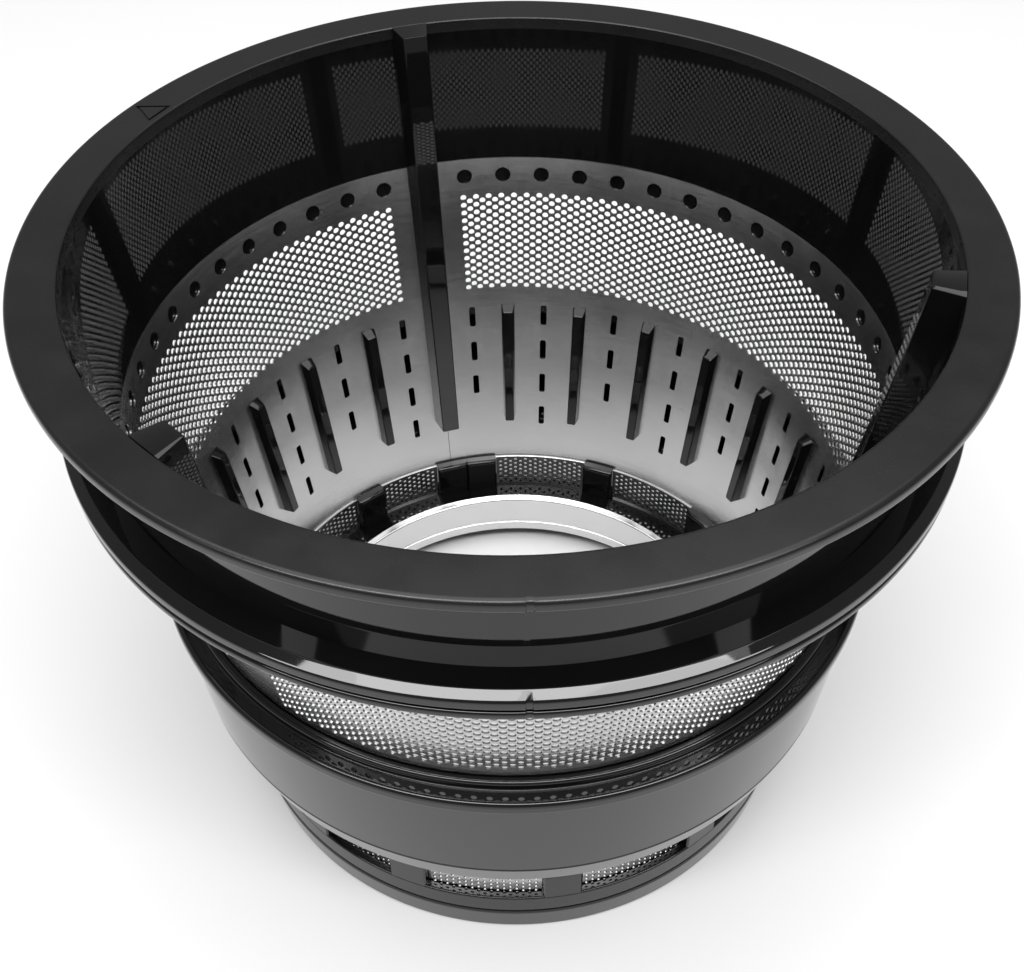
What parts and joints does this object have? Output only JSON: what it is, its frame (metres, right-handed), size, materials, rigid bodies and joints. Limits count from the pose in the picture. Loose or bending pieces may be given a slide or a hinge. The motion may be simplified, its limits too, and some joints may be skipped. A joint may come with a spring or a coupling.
{
  "type": "juicer strainer basket",
  "caption": "Conical strainer basket of a slow juicer: black plastic frame with ribs, perforated steel screen, drain windows and an open steel-lined bore.",
  "frame": {"origin": "centre of the base, on the face that the basket stands on", "axes": "+Z along the basket's axis, up to the rim; +Y through guide rib 1"},
  "size_m": [0.13, 0.13, 0.1017],
  "materials": {
    "rim_plastic": "satin",
    "gloss_plastic": "glossy",
    "screen_steel": "brushed",
    "bush_steel": "polished"
  },
  "bodies": {
    "root": {"top_rim": "rim_plastic", "upper_wall": "gloss_plastic", "upper_hoop": "gloss_plastic", "guide_rib_1": "gloss_plastic", "guide_rib_2": "gloss_plastic", "guide_rib_3": "gloss_plastic", "screen_panel_1": "screen_steel", "screen_panel_2": "screen_steel", "screen_panel_3": "screen_steel", "pressing_rib_01": "gloss_plastic", "pressing_rib_02": "gloss_plastic", "pressing_rib_03": "gloss_plastic", "pressing_rib_04": "gloss_plastic", "pressing_rib_05": "gloss_plastic", "pressing_rib_06": "gloss_plastic", "pressing_rib_07": "gloss_plastic", "pressing_rib_08": "gloss_plastic", "pressing_rib_09": "gloss_plastic", "pressing_rib_10": "gloss_plastic", "pressing_rib_11": "gloss_plastic", "pressing_rib_12": "gloss_plastic", "pressing_rib_13": "gloss_plastic", "pressing_rib_14": "gloss_plastic", "pressing_rib_15": "gloss_plastic", "pressing_rib_16": "gloss_plastic", "pressing_rib_17": "gloss_plastic", "pressing_rib_18": "gloss_plastic", "pressing_rib_19": "gloss_plastic", "pressing_rib_20": "gloss_plastic", "pressing_rib_21": "gloss_plastic", "lower_shelf_ring": "gloss_plastic", "lower_skirt": "gloss_plastic", "drain_upper_ring": "gloss_plastic", "drain_sill_ring": "gloss_plastic", "window_post_01": "gloss_plastic", "window_post_02": "gloss_plastic", "window_post_03": "gloss_plastic", "window_post_04": "gloss_plastic", "window_post_05": "gloss_plastic", "window_post_06": "gloss_plastic", "window_post_07": "gloss_plastic", "window_post_08": "gloss_plastic", "window_post_09": "gloss_plastic", "window_post_10": "gloss_plastic", "window_post_11": "gloss_plastic", "window_post_12": "gloss_plastic", "rib_foot_1": "gloss_plastic", "rib_foot_2": "gloss_plastic", "rib_foot_3": "gloss_plastic", "drain_mesh": "screen_steel", "base_ring": "gloss_plastic", "bottom_collar": "gloss_plastic", "bore_bush": "bush_steel"}
  },
  "joints": []
}
